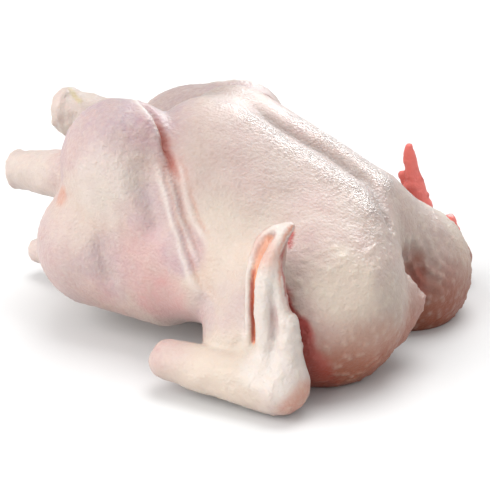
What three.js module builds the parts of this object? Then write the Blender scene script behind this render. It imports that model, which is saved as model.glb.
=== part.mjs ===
import * as THREE from 'three';

// A whole raw chicken lying on its back, legs folded and wings tucked, one solid of skin and flesh.
// Millimetres. x runs from the tail to the neck, y from the left side to the right side, z up from
// the table, and the forms below are placed about a point between the legs. The skin is the place
// where a smooth distance function is zero: every muscle is a round form with its own centre and
// radii, and neighbouring forms flow together over a blend width. Limbs run from a to b with
// radius ra at a and rb at b. Paired forms are given for a positive y and mirrored.

// Trunk and breast
const TRUNK = { centre: [-20, 0, 40], radii: [88, 54, 44] };
const TRUNK_BLEND = 16;
const KEEL = { a: [-22, 14, 88], b: [48, 12, 59], ra: 28, rb: 24.5 };
const KEEL_GROOVE_BLEND = 8;
const LEFT_BREAST = { a: [-12, 30, 60], b: [53, 42, 33], ra: 36, rb: 39 };
const RIGHT_BREAST = { a: [-16, 30, 52], b: [60.5, 41.5, 22], ra: 36, rb: 36.5 };
const BREAST_BLEND = 26;

// Skin flap on the left side of the neck opening, and the short hollow between the breast ends
const NECK_SKIN = { a: [82.5, -18, 30], b: [80, -24, 20], ra: 10.5, rb: 10 };
const NECK_SKIN_BLEND = 6;
const NECK_HOLLOW = { centre: [96, 5, 37], radii: [24, 13, 17], pitchDeg: 5 };
const NECK_HOLLOW_BLEND = 7;

// Legs, folded forward against the trunk
const LEFT_DRUMSTICK = { centre: [-54, 40, 84], radii: [32, 27, 33], pitchDeg: 6 };
const RIGHT_DRUMSTICK = { centre: [-58, 40, 76], radii: [40, 27, 32], pitchDeg: 10 };
const THIGH = { a: [-68, 42, 43], b: [-28, 44, 38], ra: 32, rb: 29 };
const LEFT_KNEE = { a: [-50, 45, 88], b: [1, 57, 41], ra: 21, rb: 21 };
const RIGHT_KNEE = { a: [-33, 46, 88], b: [-2, 53, 44], ra: 23, rb: 21 };
const LEG_MUSCLE_BLEND = 13;
const KNEE_BLEND = 12;
const LEG_TO_TRUNK_BLEND = 5;

// Hock ends, where the shanks were cut off square
const LEFT_HOCK = { a: [-86, 31, 72], b: [-142, 22, 67], ra: 14, rb: 8.5, cutAt: -135 };
const RIGHT_HOCK = { a: [-92, 33, 79], b: [-138, 27, 89], ra: 15, rb: 12.5, cutAt: -138 };
const HOCK_BLEND = 4;
const HOCK_CUT_LIP = 4;

// Tail
const TAIL = { a: [-95, 0, 26], b: [-135, -1, 14], ra: 20, rb: 9, across: [0.3, 0, 1], flatness: 0.75 };
const TAIL_BLEND = 6;

// Upper arm under the skin of the side, and the skin that runs out to the hand
const FLANK = { a: [14, 56, 50], b: [28, 78, 24], ra: 15, rb: 9 };
const UPPER_ARM = { a: [50, 60, 28], b: [24, 78, 18], ra: 18, rb: 12 };
const WING_SIDE = { a: [32, 76, 28], b: [37, 72, 58], ra: 12, rb: 9 };
const ARM_BLEND = 14;
const WING_SIDE_BLEND = 12;

// Wings: forearm on the table, hand standing up beside the breast
const FOREARM = { a: [2, 94, 15], b: [55, 94, 13], ra: 9.5, rb: 12 };
const PALM = { a: [58.5, 91, 14], b: [58.3, 90, 42], ra: 7.8, rb: 4.6 };
const BONE_PATH = [[48, 90, 14], [47.9, 90, 40], [47.2, 90, 59], [50.8, 88, 74], [55.6, 86, 82.5]];
const BONE_RADII = [9, 5.6, 5.2, 4.4, 3.2];
const RIDGE_PATH = [[57.5, 90, 38], [53.6, 90, 54], [52.4, 89, 68]];
const RIDGE_RADII = [4, 3.2, 3];
const WEB_PATH = [[40.4, 89, 22], [40.4, 88, 48], [41, 87, 62], [44, 86, 73.5], [50, 86, 81]];
const WEB_RADII = [3.4, 3, 3, 3, 3];
const WEB_SKIN = { a: [44, 86, 26], b: [47, 86, 73], ra: 8, rb: 8, across: [0.1, 1, 0.15], flatness: 0.38 };
const WING_BLENDS = { hand: 2, palm: 2.5, wrist: 7, trunk: 2 };

// The right wing lies further forward, with its tip lower and drawn back
const RIGHT_WRIST_SHIFT = [15, 0, 0];
const RIGHT_PALM_SHIFT = [12.5, 0, -6.5];
const RIGHT_RIDGE_SHIFT = [6, 0, -15];
const RIGHT_TIP_SHIFT = [-9, 0, -9];
const RIGHT_WEB_SHIFT = [15, 0, -12];
const RIGHT_WEB_TIP_SHIFT = [-4, 0, -24];
const NO_SHIFT = [0, 0, 0];

// Facets of the skin
const FACET = 6.5;
const WING_FACET = 3.6;
const SPAN_X = [-152, 108];
const SPAN_Y = [-118, 118];
const TABLE_LAYER = 0.4;
const SPAN_Z = [TABLE_LAYER, 126];
const HAND_SPAN_X = [32, 80];
const HAND_SPAN_Y = [78, 108];
const SETTLE_STEPS = 6;
const SLOPE_STEP = 0.2;
const LEAST_STEEPNESS = 0.05;
const CELL_MARGIN = 0.04;
const SIMPLIFY_PASSES = 12;
const NUDGE = 0.4;
const CELL_NODES = [0, 1, 2, 3, 4, 5, 6, 7].map((bits) => [bits & 1, (bits >> 1) & 1, bits >> 2]);

const LEFT = -1;
const RIGHT = 1;

/** Distance along the shortest line to an ellipsoid, close enough near its surface. */
function ellipsoid(p, { centre, radii, pitchDeg = 0 }) {
  const pitch = THREE.MathUtils.degToRad(pitchDeg);
  const dx = p[0] - centre[0];
  const dy = p[1] - centre[1];
  const dz = p[2] - centre[2];
  const along = dx * Math.cos(pitch) + dz * Math.sin(pitch);
  const up = dz * Math.cos(pitch) - dx * Math.sin(pitch);
  const scaled = [along / radii[0], dy / radii[1], up / radii[2]];
  const near = Math.hypot(...scaled);
  const slope = Math.hypot(scaled[0] / radii[0], scaled[1] / radii[1], scaled[2] / radii[2]);
  return (near * (near - 1)) / Math.max(slope, 1e-9);
}

/** Distance to a tapered limb from a to b, flattened across one direction if asked. */
function limb(p, { a, b, ra, rb, across = null, flatness = 1 }) {
  const axis = [b[0] - a[0], b[1] - a[1], b[2] - a[2]];
  const from = [p[0] - a[0], p[1] - a[1], p[2] - a[2]];
  const length2 = axis[0] ** 2 + axis[1] ** 2 + axis[2] ** 2;
  const dot = from[0] * axis[0] + from[1] * axis[1] + from[2] * axis[2];
  const t = Math.min(Math.max(dot / length2, 0), 1);
  const off = from.map((value, i) => value - t * axis[i]);
  const radius = ra + (rb - ra) * t;
  if (!across) return Math.hypot(...off) - radius;
  const size = Math.hypot(...across);
  const n = across.map((value) => value / size);
  const lift = (off[0] * n[0] + off[1] * n[1] + off[2] * n[2]) * (1 / flatness - 1);
  const stretched = off.map((value, i) => value + lift * n[i]);
  return (Math.hypot(...stretched) - radius) * flatness;
}

/** Union of two forms with a fillet of the given width where they meet. */
function blend(a, b, width) {
  const overlap = Math.max(width - Math.abs(a - b), 0) / width;
  return Math.min(a, b) - (overlap * overlap * width) / 4;
}

/** Removes form b from form a, with a rounded lip of the given width. */
function carve(a, b, width) {
  return -blend(-a, b, width);
}

/** Moves a point by the given amounts. */
function moved(point, shift) {
  return [point[0] + shift[0], point[1] + shift[1], point[2] + shift[2]];
}

/** A row of limbs through the given points, whose start and end are moved by the two shifts. */
function chain(p, path, radii, startShift, endShift) {
  const places = path.map((point, i) => {
    const share = i / (path.length - 1);
    return moved(point, startShift.map((value, k) => value * (1 - share) + endShift[k] * share));
  });
  const links = places.slice(1).map((b, i) => limb(p, { a: places[i], b, ra: radii[i], rb: radii[i + 1] }));
  return Math.min(...links);
}

function breastLobe(p, side) {
  return blend(limb(p, KEEL), limb(p, side === RIGHT ? RIGHT_BREAST : LEFT_BREAST), BREAST_BLEND);
}

function leg(p, side) {
  const drumstick = side === RIGHT ? RIGHT_DRUMSTICK : LEFT_DRUMSTICK;
  const knee = side === RIGHT ? RIGHT_KNEE : LEFT_KNEE;
  const hock = side === RIGHT ? RIGHT_HOCK : LEFT_HOCK;
  const thick = blend(ellipsoid(p, drumstick), limb(p, THIGH), LEG_MUSCLE_BLEND);
  const muscle = blend(thick, limb(p, knee), KNEE_BLEND);
  const shank = carve(limb(p, hock), p[0] - hock.cutAt, HOCK_CUT_LIP);
  return blend(muscle, shank, HOCK_BLEND);
}

function wing(p, side) {
  const right = side === RIGHT;
  const wristShift = right ? RIGHT_WRIST_SHIFT : NO_SHIFT;
  const palmShift = right ? RIGHT_PALM_SHIFT : NO_SHIFT;
  const ridgeShift = right ? RIGHT_RIDGE_SHIFT : NO_SHIFT;
  const tipShift = right ? RIGHT_TIP_SHIFT : NO_SHIFT;
  const webShift = right ? RIGHT_WEB_SHIFT : NO_SHIFT;
  const webTipShift = right ? RIGHT_WEB_TIP_SHIFT : NO_SHIFT;
  const bone = chain(p, BONE_PATH, BONE_RADII, wristShift, tipShift);
  const ridge = chain(p, RIDGE_PATH, RIDGE_RADII, ridgeShift, tipShift);
  const edge = chain(p, WEB_PATH, WEB_RADII, webShift, webTipShift);
  const skin = limb(p, { ...WEB_SKIN, b: moved(WEB_SKIN.b, webTipShift) });
  const palm = limb(p, { ...PALM, a: moved(PALM.a, wristShift), b: moved(PALM.b, palmShift) });
  const forearm = limb(p, { ...FOREARM, b: moved(FOREARM.b, wristShift) });
  const fingers = [ridge, edge, skin].reduce((hand, form) => blend(hand, form, WING_BLENDS.hand), bone);
  return blend(forearm, blend(fingers, palm, WING_BLENDS.palm), WING_BLENDS.wrist);
}

/** Signed distance to the bird above the table: negative inside, zero on the skin. */
function bird(x, y, z) {
  const middle = [x, y, z];
  const halves = [LEFT, RIGHT].map((side) => ({ side, p: [x, y * side, z] }));
  const [leftLobe, rightLobe] = halves.map(({ side, p }) => breastLobe(p, side));
  const lobes = blend(leftLobe, rightLobe, KEEL_GROOVE_BLEND);
  const breast = blend(lobes, limb(middle, NECK_SKIN), NECK_SKIN_BLEND);
  let form = blend(ellipsoid(middle, TRUNK), breast, TRUNK_BLEND);
  for (const { side, p } of halves) {
    form = blend(form, leg(p, side), LEG_TO_TRUNK_BLEND);
  }
  form = blend(form, limb(middle, TAIL), TAIL_BLEND);
  for (const { side, p } of halves) {
    form = blend(form, limb(p, FLANK), ARM_BLEND);
    form = blend(form, limb(p, UPPER_ARM), ARM_BLEND);
    form = blend(form, limb(p, WING_SIDE), WING_SIDE_BLEND);
    form = blend(form, wing(p, side), WING_BLENDS.trunk);
  }
  return carve(form, ellipsoid(middle, NECK_HOLLOW), NECK_HOLLOW_BLEND);
}

/** Grid lines from a to b, close together inside the given ranges and wider outside them. */
function gridLines([a, b], fineRanges) {
  const lines = [a];
  while (lines[lines.length - 1] < b) {
    const at = lines[lines.length - 1];
    const fine = fineRanges.some(([from, to]) => at >= from && at < to);
    lines.push(at + (fine ? WING_FACET : FACET));
  }
  return lines;
}

/** Pulls a point onto the skin along the steepest direction; a point on the table slides on it. */
function settle(point, onTable) {
  const step = SLOPE_STEP;
  for (let i = 0; i < SETTLE_STEPS; i += 1) {
    const [x, y, z] = point;
    const value = bird(x, y, z);
    const slope = [
      bird(x + step, y, z) - bird(x - step, y, z),
      bird(x, y + step, z) - bird(x, y - step, z),
      onTable ? 0 : bird(x, y, z + step) - bird(x, y, z - step),
    ].map((difference) => difference / (2 * step));
    const steepness = Math.max(slope[0] ** 2 + slope[1] ** 2 + slope[2] ** 2, LEAST_STEEPNESS);
    for (let k = 0; k < 3; k += 1) point[k] -= (value * slope[k]) / steepness;
  }
}

/** True when the skin would cross a cell as one plain sheet, for a given set of inside corners. */
function isPlainSheet(mask) {
  for (const [axis, level] of [[0, 0], [0, 1], [1, 0], [1, 1], [2, 0], [2, 1]]) {
    const face = CELL_NODES.map((node, n) => n).filter((n) => CELL_NODES[n][axis] === level);
    const [a, b, c, d] = face.map((n) => (mask >> n) & 1);
    if (a === d && b === c && a !== b) return false;
  }
  const opposite = [[0, 7], [1, 6], [2, 5], [3, 4]].map(([a, b]) => (1 << a) | (1 << b));
  return !opposite.some((pair) => mask === pair || mask === 255 - pair);
}

/** Where a narrow gap or a thin web is finer than the grid, moves the nearest grid corner across
 *  the skin, so that each cell holds one sheet of skin and the solid stays closed. */
function simplifyCells(values, [nx, ny, nz]) {
  const plain = Array.from({ length: 256 }, (_, mask) => isPlainSheet(mask));
  const node = (i, j, k) => (i * ny + j) * nz + k;
  let changed = true;
  for (let pass = 0; pass < SIMPLIFY_PASSES && changed; pass += 1) {
    changed = false;
    for (let i = 0; i < nx - 1; i += 1) {
      for (let j = 0; j < ny - 1; j += 1) {
        for (let k = 0; k < nz - 1; k += 1) {
          const at = CELL_NODES.map(([a, b, c]) => node(i + a, j + b, k + c));
          const mask = at.reduce((bits, index, n) => bits | ((values[index] < 0 ? 1 : 0) << n), 0);
          if (plain[mask]) continue;
          const choices = at
            .map((index, n) => ({ index, helps: plain[mask ^ (1 << n)], below: k + CELL_NODES[n][2] === 0 }))
            .filter(({ helps, below }) => helps && !below)
            .sort((a, b) => Math.abs(values[a.index]) - Math.abs(values[b.index]));
          if (choices.length === 0) continue;
          const { index } = choices[0];
          values[index] = values[index] < 0 ? NUDGE : -NUDGE;
          changed = true;
        }
      }
    }
  }
}

/** Closed skin: one corner in each grid cell the skin passes through, joined across the edges. */
function skinGeometry() {
  const xs = gridLines(SPAN_X, [HAND_SPAN_X]);
  const ys = gridLines(SPAN_Y, [[-HAND_SPAN_Y[1], -HAND_SPAN_Y[0]], HAND_SPAN_Y]);
  const zs = [-TABLE_LAYER, ...gridLines(SPAN_Z, [])];
  const [nx, ny, nz] = [xs.length, ys.length, zs.length];
  const node = (i, j, k) => (i * ny + j) * nz + k;
  const values = new Float64Array(nx * ny * nz);
  for (let i = 0; i < nx; i += 1) {
    for (let j = 0; j < ny; j += 1) {
      for (let k = 0; k < nz; k += 1) {
        values[node(i, j, k)] = Math.max(bird(xs[i], ys[j], zs[k]), -zs[k]);
      }
    }
  }

  simplifyCells(values, [nx, ny, nz]);

  const corners = [];
  const cornerOf = new Int32Array(nx * ny * nz).fill(-1);
  const cellEdges = [];
  CELL_NODES.forEach((a, m) => CELL_NODES.forEach((b, n) => {
    const steps = Math.abs(a[0] - b[0]) + Math.abs(a[1] - b[1]) + Math.abs(a[2] - b[2]);
    if (m < n && steps === 1) cellEdges.push([m, n]);
  }));
  for (let i = 0; i < nx - 1; i += 1) {
    for (let j = 0; j < ny - 1; j += 1) {
      for (let k = 0; k < nz - 1; k += 1) {
        const at = CELL_NODES.map(([a, b, c]) => values[node(i + a, j + b, k + c)]);
        const inside = at.filter((value) => value < 0).length;
        if (inside === 0 || inside === 8) continue;
        const mean = [0, 0, 0];
        let crossings = 0;
        for (const [m, n] of cellEdges) {
          if (at[m] < 0 === at[n] < 0) continue;
          const t = at[m] / (at[m] - at[n]);
          const low = CELL_NODES[m];
          const high = CELL_NODES[n];
          mean[0] += xs[i + low[0]] * (1 - t) + xs[i + high[0]] * t;
          mean[1] += ys[j + low[1]] * (1 - t) + ys[j + high[1]] * t;
          mean[2] += zs[k + low[2]] * (1 - t) + zs[k + high[2]] * t;
          crossings += 1;
        }
        const point = mean.map((sum) => sum / crossings);
        const onTable = k === 0;
        if (onTable) point[2] = 0;
        const underBody = onTable && inside === 4;
        if (!underBody) {
          settle(point, onTable);
          const low = [xs[i], ys[j], zs[k]];
          const high = [xs[i + 1], ys[j + 1], zs[k + 1]];
          for (let axis = 0; axis < 3; axis += 1) {
            const margin = (high[axis] - low[axis]) * CELL_MARGIN;
            point[axis] = Math.min(Math.max(point[axis], low[axis] + margin), high[axis] - margin);
          }
          if (onTable) point[2] = 0;
        }
        cornerOf[node(i, j, k)] = corners.length;
        corners.push(point);
      }
    }
  }

  const triangles = [];
  const gap = (a, b) => Math.hypot(...corners[a].map((value, axis) => value - corners[b][axis]));
  const quad = (a, b, c, d, flip) => {
    const ring = flip ? [d, c, b, a] : [a, b, c, d];
    const [p, q, r, s] = ring;
    if (gap(p, r) <= gap(q, s)) triangles.push(p, q, r, p, r, s);
    else triangles.push(q, r, s, q, s, p);
  };
  for (let i = 1; i < nx - 1; i += 1) {
    for (let j = 1; j < ny - 1; j += 1) {
      for (let k = 0; k < nz - 1; k += 1) {
        const inside = values[node(i, j, k)] < 0;
        if (inside !== values[node(i + 1, j, k)] < 0 && k > 0) {
          quad(
            cornerOf[node(i, j - 1, k - 1)], cornerOf[node(i, j, k - 1)],
            cornerOf[node(i, j, k)], cornerOf[node(i, j - 1, k)], !inside,
          );
        }
        if (inside !== values[node(i, j + 1, k)] < 0 && k > 0) {
          quad(
            cornerOf[node(i - 1, j, k - 1)], cornerOf[node(i - 1, j, k)],
            cornerOf[node(i, j, k)], cornerOf[node(i, j, k - 1)], !inside,
          );
        }
        if (inside !== values[node(i, j, k + 1)] < 0) {
          quad(
            cornerOf[node(i - 1, j - 1, k)], cornerOf[node(i, j - 1, k)],
            cornerOf[node(i, j, k)], cornerOf[node(i - 1, j, k)], !inside,
          );
        }
      }
    }
  }
  const geometry = new THREE.BufferGeometry();
  geometry.setAttribute('position', new THREE.Float32BufferAttribute(corners.flat(), 3));
  geometry.setIndex(triangles);
  return geometry;
}

/** Puts the origin at the middle of the bird's outline, on the table. */
function centreOnTable(geometry) {
  geometry.computeBoundingBox();
  const { min, max } = geometry.boundingBox;
  geometry.translate(-(min.x + max.x) / 2, -(min.y + max.y) / 2, 0);
  return geometry;
}

const group = new THREE.Group();
const chicken = new THREE.Mesh(
  centreOnTable(skinGeometry()),
  new THREE.MeshStandardMaterial({ color: 0xdcc3b8, roughness: 0.45, metalness: 0 }),
);
chicken.name = 'chicken';
group.add(chicken);

export default group;
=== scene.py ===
# %% [markdown]
# # A whole raw chicken, step by step
# The bird lies on its back with its breast up, its legs folded and its wings tucked. A real one
# is a single stretched skin over a few round muscles, so the model is one closed surface too.
# The form is a distance function made of round muscles that flow together. The skin is the
# place where that function is zero, and folds, creases and pores are then pushed into it.

# %% Open the frame
import bpy
import numpy as np
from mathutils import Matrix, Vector


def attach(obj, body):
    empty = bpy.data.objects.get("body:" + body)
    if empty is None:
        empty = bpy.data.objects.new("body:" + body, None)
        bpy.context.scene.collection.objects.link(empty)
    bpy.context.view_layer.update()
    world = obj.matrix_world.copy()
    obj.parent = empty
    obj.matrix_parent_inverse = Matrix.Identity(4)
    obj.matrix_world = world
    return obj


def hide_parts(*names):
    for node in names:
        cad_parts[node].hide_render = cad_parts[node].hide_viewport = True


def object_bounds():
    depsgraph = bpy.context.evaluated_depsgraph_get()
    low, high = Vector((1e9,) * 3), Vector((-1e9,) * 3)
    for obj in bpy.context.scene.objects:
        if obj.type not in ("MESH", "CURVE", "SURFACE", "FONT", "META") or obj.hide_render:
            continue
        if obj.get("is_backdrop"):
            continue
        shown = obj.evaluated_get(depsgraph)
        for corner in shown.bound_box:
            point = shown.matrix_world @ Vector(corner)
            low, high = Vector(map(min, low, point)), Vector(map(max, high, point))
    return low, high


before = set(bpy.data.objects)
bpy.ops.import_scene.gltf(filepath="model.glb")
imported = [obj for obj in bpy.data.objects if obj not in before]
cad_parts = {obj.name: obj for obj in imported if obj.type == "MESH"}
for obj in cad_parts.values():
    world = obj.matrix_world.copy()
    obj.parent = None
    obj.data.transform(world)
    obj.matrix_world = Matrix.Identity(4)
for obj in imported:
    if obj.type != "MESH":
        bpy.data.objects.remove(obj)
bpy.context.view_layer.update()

# %% [markdown]
# ## Sizes of the muscles
# All sizes are in millimetres. x runs from the tail to the neck, y across, z up from the
# table. Paired forms are given for a positive y and mirrored, as left and right halves of a
# bird are, and a few named amounts keep the two halves from being copies of each other.

# %% Sizes
LEFT, RIGHT = -1, 1
STILL = (0, 0, 0)
MM = 0.001
FRAME_SHIFT = (23.12, -0.02, 0.0)

TRUNK = dict(centre=(-20, 0, 40), radii=(88, 54, 44))
TRUNK_BLEND = 16
KEEL = dict(a=(-22, 14, 88), b=(48, 12, 59), ra=28, rb=24.5)
KEEL_GROOVE_BLEND = 8
LEFT_BREAST = dict(a=(-12, 30, 60), b=(53, 42, 33), ra=36, rb=39)
RIGHT_BREAST = dict(a=(-16, 30, 52), b=(60.5, 41.5, 22), ra=36, rb=36.5)
BREAST_BLEND = 26
NECK_SKIN = dict(a=(82.5, -18, 30), b=(80, -24, 20), ra=10.5, rb=10)
NECK_SKIN_BLEND = 6

LEFT_DRUMSTICK = dict(centre=(-54, 40, 84), radii=(32, 27, 33), pitch=6)
RIGHT_DRUMSTICK = dict(centre=(-58, 40, 76), radii=(40, 27, 32), pitch=10)
THIGH = dict(a=(-68, 42, 43), b=(-28, 44, 38), ra=32, rb=29)
LEFT_KNEE = dict(a=(-50, 45, 88), b=(1, 57, 41), ra=21, rb=21)
RIGHT_KNEE = dict(a=(-33, 46, 88), b=(-2, 53, 44), ra=23, rb=21)
LEG_MUSCLE_BLEND, KNEE_BLEND, LEG_BLEND = 13, 12, 5

LEFT_HOCK = dict(a=(-86, 31, 72), b=(-142, 22, 67), ra=14, rb=8.5)
LEFT_HOCK_CUT = -135
RIGHT_HOCK = dict(a=(-92, 33, 79), b=(-138, 27, 89), ra=15, rb=12.5)
RIGHT_HOCK_CUT = -138
HOCK_BLEND, HOCK_CUT_LIP = 4, 4

TAIL = dict(a=(-95, 0, 26), b=(-135, -1, 14), ra=20, rb=9, across=(0.3, 0, 1), flatness=0.75)
TAIL_BLEND = 6

FLANK = dict(a=(14, 56, 50), b=(28, 78, 24), ra=15, rb=9)
UPPER_ARM = dict(a=(50, 60, 28), b=(24, 78, 18), ra=18, rb=12)
WING_SIDE = dict(a=(32, 76, 28), b=(37, 72, 58), ra=12, rb=9)
ARM_BLEND = 14
FOREARM = dict(a=(2, 94, 15), b=(55, 94, 13), ra=9.5, rb=12)
HAND_ACROSS = (0.1, 1, 0.15)
BONE_PATH = ((48, 90, 14), (47.9, 90, 30), (47.8, 90, 40), (47.2, 90, 51), (47.2, 90, 59),
             (48.5, 89, 66.5), (50.8, 88, 74), (53.5, 87, 80), (56.4, 86, 84))
BONE_RADII = (9, 5.4, 5.0, 5.0, 4.8, 4.2, 3.5, 2.8, 1.9)
RIDGE_PATH = ((57.5, 90, 38), (55.2, 90, 48), (53.6, 90, 54), (52.8, 89.5, 60), (52.4, 89, 68))
RIDGE_RADII = (3.6, 3.0, 2.6, 2.3, 2.0)
PALM = dict(a=(58.5, 91, 14), b=(58.3, 90, 42), ra=7.8, rb=4.2)
WEB_PATH = ((39.0, 89, 22), (38.7, 89, 34), (38.1, 88, 48), (38.0, 87, 60), (39.4, 86, 67),
            (42, 86, 74), (45.4, 86, 79), (49.3, 86, 82), (54, 86, 83.8))
WEB_RADII = (2.6, 1.9, 1.8, 1.8, 1.8, 1.8, 1.8, 1.8, 1.7)
WEB_SKIN = dict(a=(44, 85, 26), b=(47, 85, 73), ra=7, rb=7, across=HAND_ACROSS, flatness=0.3)
RIGHT_WRIST_SHIFT = (15, 0, 0)
RIGHT_PALM_SHIFT = (12.5, 0, -6.5)
RIGHT_RIDGE_SHIFT = (6, 0, -15)
RIGHT_TIP_SHIFT = (-9, 0, -9)
RIGHT_WEB_SHIFT = (15, 0, -12)
RIGHT_WEB_TIP_SHIFT = (-3, 0, -30)
RIGHT_SIDE_SHIFT = (0, 0, -7)
WING_BLENDS = dict(bone=2, web=2, skin=2, palm=2.5, wrist=7, side=12, trunk=2)

CLEFT = dict(centre=(96, 5, 37), radii=(24, 13, 17), pitch=5)
CLEFT_BLEND = 7

# %% [markdown]
# ## Round forms and how they join
# A muscle can be sculpted, lofted or grown from balls. Here each is a formula for the distance
# to an ellipsoid or a tapered limb, because such formulas join with a soft fillet by one line
# of arithmetic, and the same few sizes also make the solid that the bird is weighed by.

# %% Distance to one form
def ellipsoid(p, centre, radii, pitch=0.0):
    """Distance to an ellipsoid: how far the point, scaled by the radii, is from the unit ball,
    divided by how fast that changes."""
    q = p - np.asarray(centre, float)
    turn = np.radians(pitch)
    along = q[:, 0] * np.cos(turn) + q[:, 2] * np.sin(turn)
    up = q[:, 2] * np.cos(turn) - q[:, 0] * np.sin(turn)
    scaled = np.stack([along, q[:, 1], up], 1) / np.asarray(radii, float)
    near = np.sqrt((scaled ** 2).sum(1))
    slope = np.sqrt(((scaled / np.asarray(radii, float)) ** 2).sum(1))
    return near * (near - 1) / np.maximum(slope, 1e-9)


def limb(p, a, b, ra, rb, across=None, flatness=1.0):
    """Distance to a tapered limb: from the point to its foot on the line a to b, less the radius
    there, with the direction across squeezed by the flatness."""
    a, b = np.asarray(a, float), np.asarray(b, float)
    axis, q = b - a, p - a
    t = np.clip(q @ axis / (axis @ axis), 0, 1)
    off = q - t[:, None] * axis
    radius = ra + (rb - ra) * t
    if across is not None:
        n = np.asarray(across, float) / np.linalg.norm(across)
        off = off + ((off @ n) * (1 / flatness - 1))[:, None] * n
    return (np.sqrt((off ** 2).sum(1)) - radius) * flatness


def blend(a, b, width):
    """Union with a fillet: the smaller distance, less a quarter of the squared overlap."""
    overlap = np.maximum(width - np.abs(a - b), 0) / width
    return np.minimum(a, b) - overlap * overlap * width / 4


def carve(a, b, width):
    """Form a without form b, with a rounded lip."""
    return -blend(-a, b, width)


def shifted(form, a=STILL, b=STILL):
    """A limb with its two ends moved."""
    return dict(form, a=tuple(np.add(form["a"], a)), b=tuple(np.add(form["b"], b)))


print("forms: ellipsoid, limb, blend, carve")

# %% [markdown]
# ## The whole bird as one function
# The breast is two long lobes that meet along the keel. Each leg is a drumstick, a thigh and the
# knee between them, and its shank was cut off at the hock. Each wing has its upper arm hidden in
# the side, its forearm on the table and its hand standing up beside the breast.

# %% The bird's distance function
def breast_lobe(p, side):
    """One lobe of the breast: the keel's muscle flowing into the cheek of its side."""
    cheek = RIGHT_BREAST if side == RIGHT else LEFT_BREAST
    return blend(limb(p, **KEEL), limb(p, **cheek), BREAST_BLEND)


def leg(p, side):
    """Drumstick, thigh, knee and the cut shank of one side."""
    if side == RIGHT:
        drumstick, knee, hock, cut = RIGHT_DRUMSTICK, RIGHT_KNEE, RIGHT_HOCK, RIGHT_HOCK_CUT
    else:
        drumstick, knee, hock, cut = LEFT_DRUMSTICK, LEFT_KNEE, LEFT_HOCK, LEFT_HOCK_CUT
    muscle = blend(ellipsoid(p, **drumstick), limb(p, **THIGH), LEG_MUSCLE_BLEND)
    muscle = blend(muscle, limb(p, **knee), KNEE_BLEND)
    shank = carve(limb(p, **hock), p[:, 0] - cut, HOCK_CUT_LIP)
    return blend(muscle, shank, HOCK_BLEND)


def chain(p, points, radii):
    """A row of limbs through the given points, each as thick at its start as the last at its end."""
    links = [limb(p, a, b, ra, rb) for a, b, ra, rb in zip(points, points[1:], radii, radii[1:])]
    return np.minimum.reduce(links)


def swept(path, first, last):
    """A path whose start is moved by the first shift, its end by the last."""
    share = np.linspace(0, 1, len(path))[:, None]
    return np.array(path, float) + (1 - share) * np.array(first, float) + share * np.array(last, float)


def wing(p, side):
    """Forearm and hand of one side. Only the right one is shifted, part by part."""
    wrist, palm, edge_ridge, tip, web, web_tip = [STILL] * 6
    if side == RIGHT:
        wrist, palm, tip = RIGHT_WRIST_SHIFT, RIGHT_PALM_SHIFT, RIGHT_TIP_SHIFT
        edge_ridge, web, web_tip = RIGHT_RIDGE_SHIFT, RIGHT_WEB_SHIFT, RIGHT_WEB_TIP_SHIFT
    bone = chain(p, swept(BONE_PATH, wrist, tip), BONE_RADII)
    ridge = chain(p, swept(RIDGE_PATH, edge_ridge, tip), RIDGE_RADII)
    edge = chain(p, swept(WEB_PATH, web, web_tip), WEB_RADII)
    skin = limb(p, **shifted(WEB_SKIN, b=web_tip))
    hand = blend(blend(bone, ridge, WING_BLENDS["bone"]), edge, WING_BLENDS["web"])
    hand = blend(hand, skin, WING_BLENDS["skin"])
    hand = blend(hand, limb(p, **shifted(PALM, wrist, palm)), WING_BLENDS["palm"])
    return blend(limb(p, **shifted(FOREARM, b=wrist)), hand, WING_BLENDS["wrist"])


def torso(p):
    """The body without its limbs."""
    lobes = [breast_lobe(p * np.array([1.0, side, 1.0]), side) for side in (LEFT, RIGHT)]
    breast = blend(lobes[0], lobes[1], KEEL_GROOVE_BLEND)
    breast = blend(breast, limb(p, **NECK_SKIN), NECK_SKIN_BLEND)
    return blend(ellipsoid(p, **TRUNK), breast, TRUNK_BLEND)


def bird(p):
    """Signed distance to the skin, negative inside."""
    halves = [(side, p * np.array([1.0, side, 1.0])) for side in (LEFT, RIGHT)]
    form = torso(p)
    for side, q in halves:
        form = blend(form, leg(q, side), LEG_BLEND)
    form = blend(form, limb(p, **TAIL), TAIL_BLEND)
    for side, q in halves:
        form = blend(form, limb(q, **FLANK), ARM_BLEND)
        form = blend(form, limb(q, **UPPER_ARM), ARM_BLEND)
        lower = RIGHT_SIDE_SHIFT if side == RIGHT else STILL
        form = blend(form, limb(q, **shifted(WING_SIDE, lower, lower)), WING_BLENDS["side"])
        form = blend(form, wing(q, side), WING_BLENDS["trunk"])
    return carve(form, ellipsoid(p, **CLEFT), CLEFT_BLEND)


def slope(p, step=0.25):
    """Direction in which the distance grows fastest: the skin's normal."""
    axes = np.eye(3) * step
    return np.stack([bird(p + a) - bird(p - a) for a in axes], 1) / (2 * step)


print("distance at the trunk's middle:", round(float(bird(np.array([[-20.0, 0.0, 40.0]]))[0]), 1), "mm")

# %% [markdown]
# ## From the function to a mesh
# Blender could remesh overlapping balls, but that rounds every crease to the size of a voxel.
# Here a grid is laid over the bird, one vertex goes into each cell that the skin passes
# through, and four such vertices make a face round each grid edge that it cuts. Then each
# vertex slides along the slope until it lies exactly on the skin.

# %% Sample the function on a grid
STEP = 1.36
TABLE_LAYER = 0.3
BLOCK, BLOCK_REACH = 4, 1.9
low_corner, high_corner = (-148, -116, TABLE_LAYER), (104, 116, 124)
xs, ys = (np.arange(low_corner[i], high_corner[i], STEP) for i in (0, 1))
zs = np.concatenate([[-TABLE_LAYER], np.arange(low_corner[2], high_corner[2], STEP)])


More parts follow.
